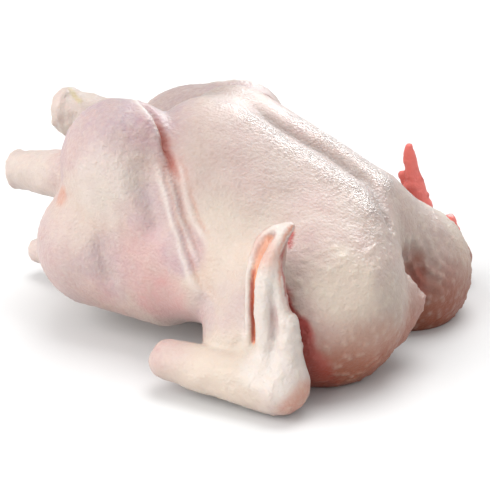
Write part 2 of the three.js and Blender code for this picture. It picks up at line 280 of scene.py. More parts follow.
def sample_grid():
    """Distances at the grid points: whole blocks far from the skin only get their sign."""
    counts = [len(xs), len(ys), len(zs)]
    blocks = [-(-n // BLOCK) for n in counts]
    middles = [np.minimum(np.arange(b) * BLOCK + BLOCK // 2, n - 1) for b, n in zip(blocks, counts)]
    grid = np.stack(np.meshgrid(xs[middles[0]], ys[middles[1]], zs[middles[2]], indexing="ij"), -1)
    rough = bird(grid.reshape(-1, 3)).reshape(blocks)
    reach = BLOCK * STEP * BLOCK_REACH
    full = np.repeat(np.repeat(np.repeat(rough, BLOCK, 0), BLOCK, 1), BLOCK, 2)
    full = full[:counts[0], :counts[1], :counts[2]].copy()
    i, j, k = np.nonzero(np.abs(full) < reach)
    points = np.stack([xs[i], ys[j], zs[k]], 1)
    full[i, j, k] = bird(points)
    full[:, :, 0] = TABLE_LAYER
    return full


values = sample_grid()
print("grid:", values.shape, "inside:", int((values < 0).sum()))

# %% [markdown]
# Where a gap or a web is thinner than the grid, two sheets of skin share one cell and would
# be tied together by a single vertex. The grid point nearest the skin is moved across it, so
# every cell holds one plain sheet and the surface stays closed.

# %% Keep one sheet in each cell
CORNERS = np.array([[n & 1, (n >> 1) & 1, n >> 2] for n in range(8)])
FACES = [[n for n in range(8) if CORNERS[n][axis] == level] for axis in range(3) for level in (0, 1)]
OPPOSITE = [(1 << a) | (1 << (7 - a)) for a in range(4)]
NUDGE = 0.25
MOST_SWEEPS = 12


def is_plain(mask):
    """True unless a face has inside corners only across its diagonal, or the cell only two
    opposite ones."""
    for a, b, c, d in FACES:
        bits = [(mask >> n) & 1 for n in (a, b, c, d)]
        if bits[0] == bits[3] and bits[1] == bits[2] and bits[0] != bits[1]:
            return False
    return mask not in OPPOSITE and (255 - mask) not in OPPOSITE


PLAIN = np.array([is_plain(mask) for mask in range(256)])
HELPS = np.array([[PLAIN[mask ^ (1 << n)] for n in range(8)] for mask in range(256)])


def cell_masks():
    """For each cell, which of its eight corners are inside, as one number."""
    inside = (values < 0).astype(np.uint8)
    masks = np.zeros([n - 1 for n in values.shape], np.uint8)
    for n, (a, b, c) in enumerate(CORNERS):
        ends = [size - 1 + shift for size, shift in zip(values.shape, (a, b, c))]
        masks |= inside[a:ends[0], b:ends[1], c:ends[2]] << n
    return masks


for sweep in range(MOST_SWEEPS):
    masks = cell_masks()
    mixed = np.argwhere(~PLAIN[masks])
    if len(mixed) == 0:
        break
    corners = mixed[:, None, :] + CORNERS[None]
    held = values[corners[..., 0], corners[..., 1], corners[..., 2]]
    useful = HELPS[masks[tuple(mixed.T)]] & (corners[..., 2] > 0)
    pick = np.argmin(np.where(useful, np.abs(held), np.inf), 1)
    rows = np.arange(len(mixed))
    chosen = corners[rows, pick]
    values[tuple(chosen.T)] = np.where(held[rows, pick] < 0, NUDGE, -NUDGE)
print("sweeps:", sweep, "cells left mixed:", len(mixed))

# %% [markdown]
# Each crossed cell gets one vertex, at the average of the places where the skin cuts its
# edges. In the lowest layer the vertices lie on the table, and where the bird is right above
# them they are part of a flat spot that it rests on.

# %% One vertex in each cell the skin crosses
masks = cell_masks()
cells = np.argwhere((masks > 0) & (masks < 255))
numbers = np.full(values.shape, -1, np.int64)
numbers[tuple(cells.T)] = np.arange(len(cells))
corners = cells[:, None, :] + CORNERS[None]
held = values[corners[..., 0], corners[..., 1], corners[..., 2]]
places = np.stack([xs[corners[..., 0]], ys[corners[..., 1]], zs[corners[..., 2]]], -1)
total = np.zeros((len(cells), 3))
count = np.zeros(len(cells))
for m in range(8):
    for n in range(m + 1, 8):
        if np.abs(CORNERS[m] - CORNERS[n]).sum() != 1:
            continue
        crossed = (held[:, m] < 0) != (held[:, n] < 0)
        gap = np.where(crossed, held[:, m] - held[:, n], 1.0)
        t = np.where(crossed, held[:, m] / gap, 0.0)[:, None]
        total += crossed[:, None] * (places[:, m] * (1 - t) + places[:, n] * t)
        count += crossed
points = total / count[:, None]
on_table = cells[:, 2] == 0
under_body = on_table & (((masks[tuple(cells.T)] >> 4) & 15) == 15)
points[on_table, 2] = 0.0
print("vertices:", len(points), "on the table:", int(on_table.sum()))

# %% [markdown]
# Four cells meet at a grid edge. Where one end of the edge is inside the bird and the other
# is not, the four vertices of these cells make one face.

# %% Four vertices round each grid edge that the skin cuts
inside = values < 0


def faces_along(axis):
    """Quads round the cut grid edges of one direction, turned so that they face outwards."""
    first = [slice(1, -1)] * 3
    if axis == 2:
        first[2] = slice(0, -1)
    second = list(first)
    second[axis] = slice(first[axis].start + 1, None)
    before, after = inside[tuple(first)], inside[tuple(second)]
    cut = np.argwhere(before != after) + np.array([s.start for s in first])
    leaving = inside[tuple(cut.T)]
    u, v = [(1, 2), (2, 0), (0, 1)][axis]
    step_u, step_v = np.eye(3, dtype=int)[u], np.eye(3, dtype=int)[v]
    ring = [cut - step_u - step_v, cut - step_v, cut, cut - step_u]
    quads = np.stack([numbers[tuple(cell.T)] for cell in ring], 1)
    quads[~leaving] = quads[~leaving][:, ::-1]
    return quads


quads = np.concatenate([faces_along(axis) for axis in range(3)])
print("faces:", len(quads), "open corners:", int((quads < 0).sum()))

# %% [markdown]
# ## Settling the vertices
# Newton's step moves a point by its distance along the slope. Between such steps each vertex
# is drawn towards the middle of its neighbours, which evens out the faces. Vertices on the
# table only slide on it, so the flat spots that the bird rests on stay flat.

# %% Settle and even out
EVEN_ROUNDS, EVEN_SHARE = 3, 0.6
GENTLEST_SLOPE = 0.05


def settle(p, rounds):
    """Moves the points onto the skin, those on the table within it."""
    free = ~under_body
    for _ in range(rounds):
        q = p[free]
        g = slope(q)
        g[on_table[free], 2] = 0.0
        steep = np.maximum((g ** 2).sum(1), GENTLEST_SLOPE)
        move = g * (bird(q) / steep)[:, None]
        length = np.linalg.norm(move, axis=1, keepdims=True)
        p[free] = q - move * np.minimum(1, STEP / np.maximum(length, 1e-9))
    return p


def neighbour_mean(p):
    """Average place of the vertices that share an edge with each vertex."""
    a = np.concatenate([quads[:, n] for n in range(4)])
    b = np.concatenate([quads[:, (n + 1) % 4] for n in range(4)])
    size = len(p)
    weight = np.bincount(a, minlength=size)
    return np.stack([np.bincount(a, p[b, k], size) / weight for k in range(3)], 1)


points = settle(points, 2)
for _ in range(EVEN_ROUNDS):
    mean = neighbour_mean(points)
    points[~on_table] += EVEN_SHARE * (mean - points)[~on_table]
    points = settle(points, 1)
normals = slope(points)
normals /= np.linalg.norm(normals, axis=1, keepdims=True)
print("largest distance from the skin:", round(float(np.abs(bird(points[~on_table])).max()), 2), "mm")

# %% [markdown]
# ## Randomness that never changes
# Skin is uneven at every scale. Lattice noise gives each whole-number place a fixed value by
# mixing its three numbers, and blends the eight values round a point. Cell noise gives the
# distance to the nearest of many scattered dots, which is what pores and feather roots are.

# %% Noise
def mix(i, j, k, seed):
    """A fixed value from 0 to 1 for each whole-number place."""
    h = (i * 374761393 + j * 668265263 + k * 2147483647 + seed * 974634777) & 0xFFFFFFFF
    h = ((h ^ (h >> 13)) * 1274126177) & 0xFFFFFFFF
    h = ((h ^ (h >> 16)) * 2246822519) & 0xFFFFFFFF
    return ((h ^ (h >> 15)) & 0xFFFFFF) / float(0xFFFFFF)


def noise(p, size, seed=0):
    """Smooth noise from -1 to 1 whose lumps are about size across."""
    q = p / size
    base = np.floor(q).astype(np.int64)
    f = q - base
    f = f * f * (3 - 2 * f)
    out = np.zeros(len(p))
    for a, b, c in CORNERS:
        weight = np.prod(np.where([a, b, c], f, 1 - f), 1)
        out += weight * mix(base[:, 0] + a, base[:, 1] + b, base[:, 2] + c, seed)
    return 2 * out - 1


def cloudy(p, size, seed=0):
    """Noise with finer noise on it."""
    return (noise(p, size, seed) + 0.5 * noise(p, size / 2.1, seed + 1)) / 1.5


def dots(p, spacing, seed=0):
    """Distance to the nearest scattered dot, as a share of the spacing."""
    q = p / spacing
    base = np.floor(q).astype(np.int64)
    best = np.full(len(p), 9.0)
    for a in (-1, 0, 1):
        for b in (-1, 0, 1):
            for c in (-1, 0, 1):
                cell = base + np.array([a, b, c])
                spot = np.stack([mix(*cell.T, seed + n) for n in (0, 7, 13)], 1)
                best = np.minimum(best, ((cell + spot - q) ** 2).sum(1))
    return np.sqrt(best)


print("noise at the first vertex:", round(float(noise(points[:1], 5.0)[0]), 3))

# %% [markdown]
# ## Where things are on the skin
# Most marks on the bird follow a line: the crease between leg and breast, the keel, the
# folds that fan out from the crease. A stroke gives each vertex its place along such a line
# and how far to the side of it it lies, measured across the skin. A patch is a soft round
# area about a point.

# %% Strokes and patches
def smooth(x, a, b):
    """0 below a, 1 above b, with an S-shaped rise between."""
    t = np.clip((x - a) / (b - a), 0, 1)
    return t * t * (3 - 2 * t)


def half(side):
    """Points and normals mirrored so that this half has a positive y."""
    sign = np.array([1.0, side, 1.0])
    return points * sign, normals * sign


def stroke(p, n, line):
    """Share of the way along the line, sideways distance across the skin and total distance."""
    line = np.asarray(line, float)
    lengths = np.linalg.norm(np.diff(line, axis=0), axis=1)
    starts = np.concatenate([[0], np.cumsum(lengths)[:-1]])
    best = np.full(len(p), 1e9)
    along, across = np.zeros(len(p)), np.full(len(p), 1e3)
    for a, b, length, start in zip(line, line[1:], lengths, starts):
        direction = (b - a) / length
        t = np.clip((p - a) @ direction, 0, length)
        off = p - a - t[:, None] * direction
        distance = np.linalg.norm(off, axis=1)
        nearer = distance < best
        sideways = (off * np.cross(n, direction)).sum(1)
        beyond_end = (t <= 0) | (t >= length)
        best = np.where(nearer, distance, best)
        along = np.where(nearer, (start + t) / lengths.sum(), along)
        across = np.where(nearer, np.where(beyond_end, np.sign(sideways) * distance, sideways), across)
    return along, across, best


def patch(p, centre, radius, soft=0.6):
    """1 inside a round area, falling to 0 at its radius."""
    distance = np.linalg.norm(p - np.asarray(centre, float), axis=1) / radius
    return 1 - smooth(distance, 1 - soft, 1)


def valley(across, width):
    """A rounded groove's depth, 1 in its middle."""
    return np.exp(-(across / width) ** 2)


def window(along, a, b, c, d):
    """Rises from a to b and falls from c to d."""
    return smooth(along, a, b) * (1 - smooth(along, c, d))


print("marks are made of: stroke, patch, valley, window")

# %% [markdown]
# ## The lines that the marks follow
# Each runs through a few listed places where the skin creases, shines or parts.
# Paired lines are given for a positive y, as the muscles are.

# %% Lines on the skin
LEFT_CREASE = ((-42, 39, 115), (-35, 43, 111), (-31, 44, 107), (-27, 46, 103), (-24, 49, 99),
               (-20, 52, 94), (-14, 57, 87), (-9, 61, 79), (-3, 67, 70), (4, 72, 61), (11, 77, 49),
               (18, 82, 39))
RIGHT_CREASE = ((-24, 30, 108), (-19, 37, 105), (-15, 40, 103), (-11, 43, 97), (-5, 49, 90),
                (-1, 52, 83), (3, 59, 75), (4, 66, 67), (3, 73, 58), (4, 75, 48), (4, 75, 38))
OUTER_FOLD = ((-29, 56, 99), (-23, 58, 90), (-15, 64, 79), (-6, 70, 65), (4, 77, 50), (12, 79, 38))
MIDDLE_FOLD = ((-23, 55, 92), (-15, 60, 83), (-8, 65, 73), (-1, 70, 64), (9, 76, 53))
INNER_FOLD = ((-22, 48, 98), (-14, 54, 90), (-8, 60, 81), (0, 65, 71), (12, 72, 62))
FOLD_SHIFT = {LEFT: (0, 0, 0), RIGHT: (9, -4, 0)}
LEG_RIM = ((-49, 39, 117), (-43, 40, 115), (-37, 43, 112), (-31, 45, 108), (-27, 48, 102))
LEG_VALLEY = ((-30, 65, 88), (-24, 67, 79), (-19, 70, 70), (-20, 73, 60))
SHANK_VALLEY = ((-50, 71, 58), (-46, 72, 46), (-42, 73, 34))
KEEL_LINE = ((-8, 4, 113), (1, 1, 107), (11, 1, 103), (22, 2, 98), (31, 3, 94), (41, 3, 89),
             (53, 1, 83), (64, -6, 78), (71, -12, 72), (77, -17, 67))
NEAR_BAND = ((-6, -14, 112), (3, -16, 108), (13, -17, 104), (24, -17, 99), (39, -17, 92),
             (54, -19, 85), (66, -24, 77), (73, -27, 70))
FAR_BAND = ((6, 15, 106), (14, 15, 102), (25, 15, 97), (36, 15, 92), (47, 14, 86), (59, 9, 81),
            (68, 3, 74))
SLOT_LINE = ((43, 88, 27), (43.2, 88, 36), (42.5, 88, 50), (42.3, 87, 62), (44, 86, 70), (47.5, 86, 77))
HAND_EDGE = ((58, 88, 84), (56, 88, 79), (54.5, 89, 73), (54.6, 89, 67), (54.8, 89, 60), (56, 89, 54),
             (58, 89, 49))
HAND_GAP = ((43, 58, 72), (46, 64, 69), (48, 71, 60), (51, 78, 50), (56, 80, 43), (60, 82, 36))
LOWER_GAP = ((59, 81, 38), (62, 81, 27), (64, 78, 19), (63, 72, 9), (62, 68, 3))
TENDON = ((-132, 27, 101), (-126, 23, 99), (-121, 21, 96))
print("lines:", len(LEFT_CREASE), "points on the left crease,", len(KEEL_LINE), "on the keel")

# %% [markdown]
# ## Relief of the leg's crease
# Heights are added up and then pushed along the normals. A bump map would be cheaper, but the
# creases and larger bumps show at the outline, so they are real here. Where the leg lies against
# the breast, a groove with a bulge and three strands runs down, and a lumpy rim ends it above.

# %% Crease, folds and rim
CREASE = dict(depth=2.4, width=1.7, reach=16)
BULGE = dict(height=1.1, beside=5, width=3.2)
FOLDS = (dict(line=OUTER_FOLD, height=1.3, width=2.6), dict(line=MIDDLE_FOLD, height=0.9, width=1.7),
         dict(line=INNER_FOLD, height=0.6, width=1.5))
FOLD_REACH, FOLD_FOOT, FOLD_LEAN = 9, 1.6, 0.6
RIM = dict(height=0.7, beside=1.5, width=2.2, reach=10)


def crease_relief(p, n, side):
    """Minus depth times the valley of the sideways distance, plus a bulge beside it, and the
    masks that the colours need."""
    t, d, r = stroke(p, n, RIGHT_CREASE if side == RIGHT else LEFT_CREASE)
    d = d + 1.1 * noise(p, 7, 3)
    near = r < CREASE["reach"]
    groove = near * valley(d, CREASE["width"] + t) * (1 - 0.75 * smooth(t, 0.25, 0.5))
    bulge = near * valley(d - BULGE["beside"], BULGE["width"]) * window(t, 0.0, 0.1, 0.4, 0.7)
    height = BULGE["height"] * bulge - CREASE["depth"] * groove * window(t, -0.1, 0.06, 0.9, 1.1)
    return height, dict(along=t, groove=groove, beside=near * valley(d, 6.0))


def fold_relief(p, n, side):
    """For each strand a ridge beside its line, and half as deep a groove at its foot."""
    height, crest, feet = np.zeros(len(p)), np.zeros(len(p)), []
    for fold in FOLDS:
        t, d, r = stroke(p - np.array(FOLD_SHIFT[side]), n, fold["line"])
        d = d + noise(p, 9, 4)
        ends = window(t, 0.0, 0.25, 0.75, 1.0) * (r < FOLD_REACH)
        top, foot = d - FOLD_LEAN * fold["width"], d + FOLD_FOOT
        height += fold["height"] * ends * (valley(top, fold["width"]) - 0.5 * valley(foot, 1.4))
        crest = np.maximum(crest, ends * valley(top, 1.4))
        feet.append(ends * valley(foot, 1.05))
    return height, dict(crest=crest, feet=feet)


def rim_relief(p, n):
    """A ridge whose side and height are shaken by fine noise."""
    t, d, r = stroke(p, n, LEG_RIM)
    rim = valley(d - RIM["beside"] + 2.0 * noise(p, 4, 5), RIM["width"])
    rim = rim * window(t, -0.1, 0.1, 0.8, 1.0) * (r < RIM["reach"])
    return RIM["height"] * rim * (1 + 0.6 * noise(p, 3, 6)), dict(rim=rim)


rise = np.zeros(len(points))
marks = {}
for side in (LEFT, RIGHT):
    p, n = half(side)
    crease_height, crease_marks = crease_relief(p, n, side)
    fold_height, fold_marks = fold_relief(p, n, side)
    rim_height, rim_marks = rim_relief(p, n)
    rise += crease_height + fold_height + rim_height
    marks[side] = {**crease_marks, **fold_marks, **rim_marks}
print("crease relief from", round(float(rise.min()), 1), "to", round(float(rise.max()), 1), "mm")

# %% [markdown]
# ## Relief of the leg's muscles
# Two shallow valleys show where one muscle of the leg ends and the next begins, and fine
# wrinkles fan out from under the knee.

# %% Valleys and fan
LEG_VALLEYS = (dict(line=LEG_VALLEY, depth=3.2, width=6, reach=18, full=0.2),
               dict(line=SHANK_VALLEY, depth=2.7, width=5, reach=15, full=0.3))
FAN = dict(centre=(-22, 53, 85), height=0.17, wrinkles=78)


def valley_relief(p, n, line, depth, width, reach, full):
    """Minus the depth times the valley of the sideways distance, soft at both ends."""
    t, d, r = stroke(p, n, line)
    return -depth * valley(d, width) * window(t, -0.3, full, 0.7, 1.2) * (r < reach)


def fan_relief(p, n):
    """A cosine of the angle round the fan's centre, within a ring and a sector."""
    x, y, z = (p - np.array(FAN["centre"])).T
    angle = np.arctan2(0.8 * z - 0.6 * y, x)
    away = np.sqrt(x * x + y * y + z * z)
    wave = np.cos(FAN["wrinkles"] * angle + 6 * noise(p, 14, 6)) * window(away, 16, 28, 45, 70)
    sector = window(angle, -0.75, -0.5, 0.1, 0.4) * (n[:, 1] > 0.2)
    return FAN["height"] * wave * sector * (0.6 + 0.6 * noise(p, 9, 7))


for side in (LEFT, RIGHT):
    p, n = half(side)
    for shape in LEG_VALLEYS:
        rise += valley_relief(p, n, **shape)
    rise += fan_relief(p, n)
print("leg relief from", round(float(rise.min()), 1), "to", round(float(rise.max()), 1), "mm")

# %% [markdown]
# ## Relief of the keel
# The skin is stretched over the breastbone's ridge: a valley runs along it with a raised,
# crinkled, wet band at either side, and short wrinkles comb out from the nearer band.

# %% Keel and bands
BAND = dict(near_height=1.3, far_height=1.0, near_width=7.0, far_width=6.5, reach=24)
KEEL_DEPTH, KEEL_WIDTH = 2.8, 3.8
COMB, COMB_WAVES = 0.14, 30
CRINKLE, CRINKLE_SIZE = 0.34, 2.9

keel_t, keel_d, keel_r = stroke(points, normals, KEEL_LINE)
near_t, near_d, near_r = stroke(points, normals, NEAR_BAND)
far_t, far_d, far_r = stroke(points, normals, FAR_BAND)
wander = noise(points, 12, 7)
near_band = valley(near_d + 1.5 * wander, BAND["near_width"]) * window(near_t, -0.1, 0.1, 0.9, 1.05)
near_band = near_band * (near_r < BAND["reach"])
far_band = valley(far_d + 1.5 * wander, BAND["far_width"]) * window(far_t, -0.1, 0.1, 0.85, 1.05)
far_band = far_band * (far_r < BAND["reach"])
bands = np.maximum(near_band, far_band)
keel = window(keel_t, 0.0, 0.15, 0.95, 1.1) * (keel_r < BAND["reach"])
comb = np.sin(near_t * 2 * np.pi * COMB_WAVES + 6 * noise(points, 8, 8))
comb = comb * window(np.abs(near_d), 5, 8, 10, 16) * (near_r < BAND["reach"])
rise += BAND["near_height"] * near_band + BAND["far_height"] * far_band
rise -= KEEL_DEPTH * keel * valley(keel_d + wander, KEEL_WIDTH)
rise += COMB * comb * window(near_t, 0.05, 0.2, 0.8, 1.0)
rise += CRINKLE * bands * noise(points, CRINKLE_SIZE, 9)
print("keel valley:", KEEL_DEPTH, "mm deep")

# %% [markdown]
# ## Relief of plucked skin
# Every feather left a small bump, large at the front of the breast and fine on the legs. The
# breast has faint wrinkles, and the wings are lumpy with streaked hands.

# %% Wrinkles, feather roots and wings
WRINKLE, WRINKLE_SPACING = 0.08, 3.6
ROOT, ROOT_SPACING = 1.0, 3.7
GRAIN, GRAIN_SPACING = 0.6, 3.0

breast_skin = smooth(points[:, 0], -25, 0) * smooth(normals[:, 2], -0.1, 0.4)
slant = 0.75 * np.abs(points[:, 1]) - 0.65 * points[:, 2]
phase = slant / WRINKLE_SPACING + 1.6 * noise(points, 15, 11)
wrinkles = np.sin(2 * np.pi * phase) * smooth(cloudy(points, 12, 21), -0.1, 0.6)
rise += WRINKLE * wrinkles * breast_skin

front_skin = smooth(points[:, 0], 15, 60) * (1 - smooth(points[:, 2], 58, 80))
roots = (1 - smooth(dots(points, ROOT_SPACING, 31), 0.12, 0.55)) * front_skin
rise += ROOT * roots * (0.55 + 0.45 * noise(points, 16, 33))
leg_skin = 1 - smooth(points[:, 0], -30, -10)
grain = (1 - smooth(dots(points, GRAIN_SPACING, 41), 0.1, 0.6)) * leg_skin
rise += GRAIN * grain * (0.55 + 0.45 * noise(points, 20, 43))

wing_skin = smooth(np.abs(points[:, 1]), 82, 90)
hand_skin = wing_skin * smooth(points[:, 2], 18, 26)
rise += 0.75 * cloudy(points, 7.0, 51) * (wing_skin - hand_skin)
rise += 0.5 * cloudy(points * np.array([1.0, 1.0, 0.3]), 3.4, 53) * hand_skin
for side in (LEFT, RIGHT):
    p, n = half(side)
    rise += 1.1 * (1 - smooth(stroke(p, n, SLOT_LINE)[2], 0.8, 2.6)) * (p[:, 1] > 80)
side_fold = patch(points, (12, -82, 32), 17)
rise += 0.7 * side_fold * cloudy(points * np.array([1.0, 1.0, 0.4]), 4.0, 55)
print("feather roots every", ROOT_SPACING, "mm at the front,", GRAIN_SPACING, "mm on the legs")

# %% [markdown]
# ## Relief of the cut ends, and the push
# The shanks end in a lumpy cut with a ring. At the neck loose skin falls in arcs and a few
# folds. Nothing is pushed where the bird touches the table.

# %% Ends of the bird, then the push along the normals
SHANK_LUMPS, CUT_RING, RING_X = 0.9, 0.9, -131.5
ARC_HEIGHT, ARC_SPACING = 0.9, 5.5
FLAP_HEIGHT, FLAP_SPACING = 1.3, 4.6
CLEAR_OF_TABLE = 0.05

rise += 0.6 * cloudy(points, 17, 61) + 0.12 * cloudy(points, 5.5, 71)
shank_skin = 1 - smooth(points[:, 0], -108, -96)
rise += SHANK_LUMPS * cloudy(points, 5.5, 81) * shank_skin
rise += CUT_RING * valley(points[:, 0] - RING_X, 1.8) * (np.abs(points[:, 1]) > 8)
outwards = np.linalg.norm(points - np.array([98, 34, 52]), axis=1) + 2 * noise(points, 9, 83)
arcs = np.cos(2 * np.pi * outwards / ARC_SPACING) * (0.6 + 0.5 * noise(points, 8, 84))
rise += ARC_HEIGHT * patch(points, (82, 14, 36), 26) * arcs
down_flap = points[:, 2] + 0.6 * points[:, 0] + 1.5 * noise(points, 6, 85)
rise += FLAP_HEIGHT * patch(points, (86, -12, 34), 13) * np.cos(2 * np.pi * down_flap / FLAP_SPACING)
rise[on_table] = 0.0
rise *= smooth(points[:, 2], 0.0, 3.0)
skin_points = points + normals * rise[:, None]
skin_points[:, 2] = np.where(on_table, 0.0, np.maximum(skin_points[:, 2], CLEAR_OF_TABLE))
print("relief from", round(float(rise.min()), 1), "to", round(float(rise.max()), 1), "mm")

# %% [markdown]
# ## Colour masks
# Raw skin is see-through: it is cream over fat, mauve over dark leg muscle and pink where blood
# gathers. Light and shade are painted in too: red painted shade deep in the creases and hollows,
# brown and grey painted shade under the breast, on the belly and the far thigh, mauve painted
# shade in the leg's valleys, orange painted glow and shade where light comes through thin skin,
# and a painted highlight on the wet bands. Each of these is a mask from 0 to 1 kept on the
# vertices, and the material mixes named colours by them. The places are shaken by noise first,
# so that no patch has an even edge.

# %% Empty masks and how they are filled
MASK_NAMES = ("mauve_and_shade", "blush", "fat", "raw", "wet", "orange_glow_and_shade", "glow", "red", "pale", "gold", "grey_shade",
              "shade", "follicle")
skin_masks = {name: np.zeros(len(points)) for name in MASK_NAMES}


def paint(name, amount, shape):
    """Raises a mask to an amount of a shape: the larger of the two at each vertex."""
    np.maximum(skin_masks[name], amount * shape, out=skin_masks[name])


def hollow(p, n, reach):
    """How hollow the place is: 1 where a point out along the normal is still near the skin."""
    return np.clip((reach - bird(p + n * reach)) / reach, 0, 1)


deep, wide = hollow(points, normals, 7.0), hollow(points, normals, 18.0)
shake = np.stack([cloudy(points, 11, seed) for seed in (91, 93, 95)], 1) * 7
shaken = points + shake
mottle = 0.5 + 0.5 * cloudy(points, 7, 97)
print("hollow vertices:", int((deep > 0.5).sum()))

# %% [markdown]
# ## Patches of colour
# Each entry is a place, a radius and an amount. Mauve lies over the leg's muscles and is painted
# shade in the leg's valleys and on the far thigh, blood under the flank, fat over the breast's
# side and the forearm, and grey painted shade lies on the belly, the far thigh, the breast and
# its lobes.

# %% Patches
BOTH_HALVES = dict(
    mauve_and_shade=(((-50, 40, 112), 42, 1.0), ((-84, 50, 88), 22, 1.0), ((-22, 69, 76), 22, 0.75),
          ((-46, 74, 44), 24, 0.7), ((-78, 60, 40), 34, 0.35), ((12, 82, 32), 15, 0.45),
          ((-4, 73, 59), 17, 0.85), ((27, 84, 45), 18, 0.35)),
    blush=(((-14, 76, 33), 23, 0.85), ((-24, 70, 48), 24, 0.5), ((-36, 48, 106), 16, 0.3),
           ((-50, 66, 20), 26, 0.45), ((2, 80, 26), 14, 0.4)),
    fat=(((16, 72, 62), 40, 0.7), ((86, 56, 30), 36, 0.8), ((74, 64, 50), 26, 0.85),
         ((-66, 68, 70), 26, 0.45), ((30, 96, 14), 34, 0.9)),
    pale=(((-48, 64, 84), 24, 0.5), ((62, 98, 24), 26, 0.95)))
# Mauve painted shade on the far thigh.
RIGHT_HALF = dict(mauve_and_shade=(((-56, 31, 107), 40, 0.8),))
WHOLE_BIRD = dict(
    grey_shade=(((-56, 30, 105), 40, 0.6), ((10, -46, 90), 46, 0.3), ((-34, 8, 113), 26, 0.8),
          ((94, -46, 46), 20, 0.5), ((88, 24, 42), 22, 0.3)))


def paint_patches(table, where, share):
    """Every patch of the table, times a share that is 0 on the half it doesn't belong to."""
    for name, patches in table.items():
        for centre, radius, amount in patches:
            paint(name, amount, share * patch(where, centre, radius))


for side in (LEFT, RIGHT):
    mirror = np.array([1.0, side, 1.0])
    this_half = smooth(points[:, 1] * side, -6, 6)
    paint_patches(BOTH_HALVES, shaken * mirror, this_half)
    if side == RIGHT:
        paint_patches(RIGHT_HALF, shaken * mirror, this_half)
paint_patches(WHOLE_BIRD, shaken, 1.0)
print("mauve skin:", round(float(skin_masks["mauve_and_shade"].mean()), 2))

# %% [markdown]
# ## Colour along the creases, the hand and the gap
# Orange is a painted glow where light comes through thin skin, and painted shade in grooves and
# on edges. Red painted shade darkens the deepest lines. Between hand and breast the painted shade
# is a thin red line above and a wide dark pool below.

# %% Creases, hand and gap
def paint_crease(p, found):
    """Pink beside the crease, red and orange painted shade in it and at the folds' feet, and pale
    crests on the folds.
    """
    t = found["along"]
    paint("pale", 1.0, found["rim"])
    paint("pale", 0.8, found["crest"] * (p[:, 1] > 0))
    paint("blush", 0.55, found["beside"] * window(t, -0.1, 0.02, 0.3, 0.5))
    paint("orange_glow_and_shade", 0.14, found["beside"] * window(t, 0.3, 0.45, 0.8, 1.0))
    paint("raw", 0.6, found["groove"] * window(t, 0.05, 0.12, 0.3, 0.45))
    paint("orange_glow_and_shade", 0.75, found["groove"] * window(t, 0.05, 0.15, 0.85, 1.05))
    for foot in found["feet"]:
        paint("orange_glow_and_shade", 0.5, foot * (0.4 + 0.7 * mottle))


def paint_hand(p, n):
    """Orange painted glow in the slot between web and bone, a painted lit rim and red painted
    shade on the edge, mauve painted shade in the hollows.
    """
    slot = (1 - smooth(stroke(p, n, SLOT_LINE)[2], 2.0, 3.4)) * smooth(deep, 0.05, 0.3) * (p[:, 1] > 80)
    paint("glow", 1.0, slot * (1 - 0.65 * smooth(p[:, 2], 56, 72)))
    paint("orange_glow_and_shade", 0.5, patch(p, (47, 88, 72), 11) * (p[:, 1] > 82))
    rim = (1 - smooth(stroke(p, n, HAND_EDGE)[2], 1.5, 3.5)) * (p[:, 1] > 84)
    paint("orange_glow_and_shade", 0.8, rim * window(n[:, 0], 0.1, 0.4, 0.75, 0.9))
    paint("raw", 0.7, rim * smooth(n[:, 0], 0.88, 0.98))
    hand = smooth(p[:, 1], 82, 87) * smooth(p[:, 2], 22, 34) * smooth(p[:, 0], 34, 37)
    paint("mauve_and_shade", 0.35, hand * smooth(deep, 0.05, 0.3) * smooth(p[:, 0], 48, 51))
    paint("pale", 0.95, hand * (1 - smooth(deep, 0.1, 0.35)))


def paint_gap(p, n):
    """Painted shade between hand and breast: a red line that is widest at its top, and a red and
    brown pool whose width grows downwards.
    """
    t, _, r = stroke(p, n, HAND_GAP)
    line = 1 - smooth(r - 1.1 * (1 - smooth(t, 0.05, 0.25)), 0.4, 1.6)
    paint("raw", 0.95, line * (p[:, 1] < 83.5))
    t, _, r = stroke(p, n, LOWER_GAP)
    spread = (r + 1.5 * noise(p, 9, 98)) / (5 + 9 * t)
    pool = (1 - smooth(spread, 0.45, 1.0)) * (p[:, 1] < 87)
    paint("raw", 0.95, pool * (1 - 0.65 * t))
    paint("shade", 0.9, pool * (1 - smooth(p[:, 2], 4, 40)))


for side in (LEFT, RIGHT):
    p, n = half(side)
    paint_crease(p, marks[side])
    paint_hand(p, n)
    paint_gap(p, n)
    paint("pale", 0.35, smooth(p[:, 1], -6, 6) * (1 - smooth(p[:, 0], -104, -92)))
    # Orange painted shade on the wrist's lower right edge, and a small orange patch on the leg.
    wrist = patch(shaken * np.array([1.0, side, 1.0]), (68, 97, 10), 15)
    paint("orange_glow_and_shade", 0.75, wrist * smooth(n[:, 0] - n[:, 2], 0.2, 0.8))
    paint("orange_glow_and_shade", 0.6, patch(p, (-77, 60, 71), 7))
right_p, right_n = half(RIGHT)
paint("gold", 0.9, 1 - smooth(stroke(right_p, right_n, TENDON)[2], 0.7, 2.2))
paint("red", 1.0, smooth(right_p[:, 1], 79, 84) * smooth(right_p[:, 2], 18, 30))
print("raw skin:", round(float(skin_masks["raw"].mean()), 3))

# %% [markdown]
# ## Colour of the lower front and the keel
# The breast's underside and the neck's cleft get brown painted shade with an orange edge, and red
# painted shade deep in the hollows. The keel's bands are wet and get a painted highlight and dark
# painted crinkles, and its valley gets grey painted shade.

# %% Lower front, keel and follicles
x, y, z = points.T
# Red painted shade deep in the hollows and in the neck's cleft.
paint("raw", 0.7, smooth(deep, 0.8, 1.0) * (x > -60))
paint("raw", 0.3, patch(shaken, (79, 14, 29), 13) * smooth(wide, 0.2, 0.5))
